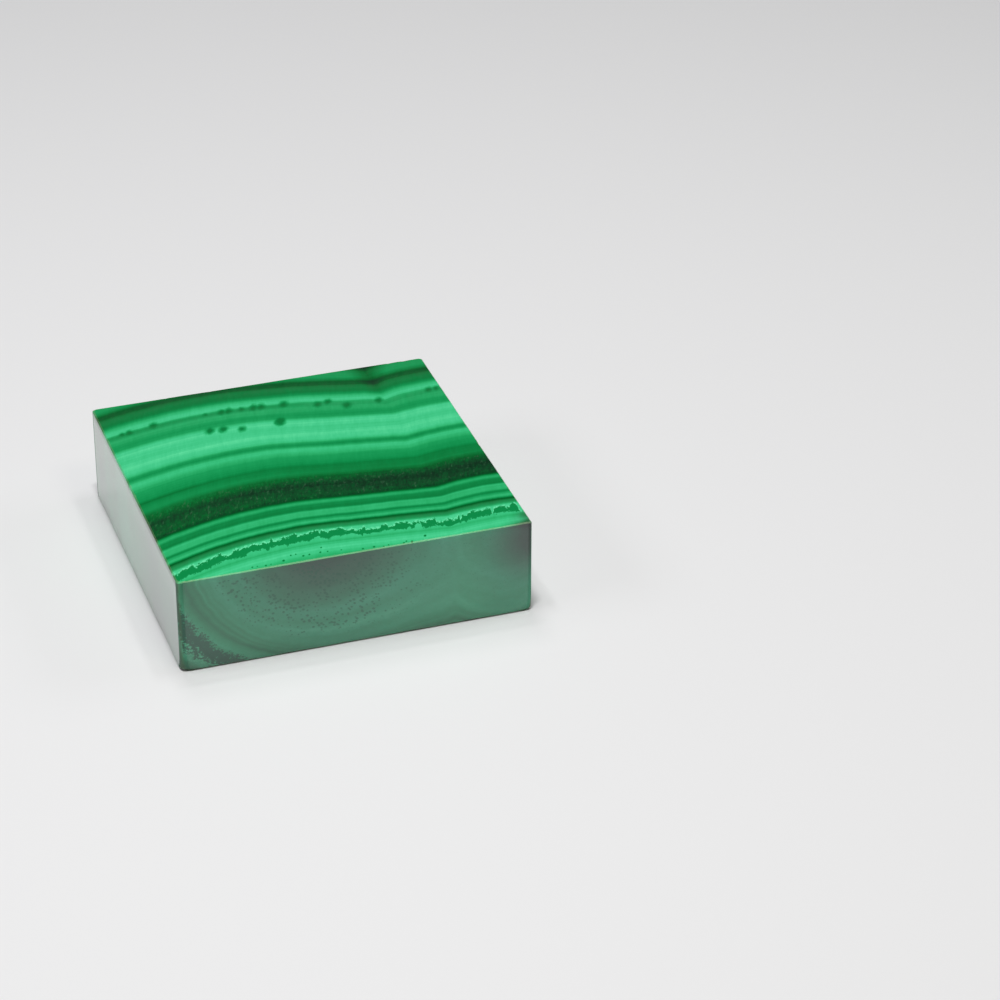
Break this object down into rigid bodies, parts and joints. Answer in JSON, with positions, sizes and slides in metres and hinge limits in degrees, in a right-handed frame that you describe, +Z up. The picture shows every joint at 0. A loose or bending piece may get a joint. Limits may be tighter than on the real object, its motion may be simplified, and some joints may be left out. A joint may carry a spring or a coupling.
{
  "type": "malachite slab",
  "caption": "Small square slab of banded green malachite, sawn flat, with polished faces and finely eased edges; it lies on its flat underside.",
  "frame": {"origin": "centre of the slab's outline, on its flat underside", "axes": "+Z up through the slab's thickness, +X along the face with the eye-shaped rings, towards its right end as seen from outside, +Y from that face to the one behind"},
  "size_m": [0.035, 0.035, 0.01],
  "materials": {
    "malachite": "polished, banded from pale to blackish green"
  },
  "bodies": {
    "root": {"malachite_slab": "malachite"}
  },
  "joints": []
}
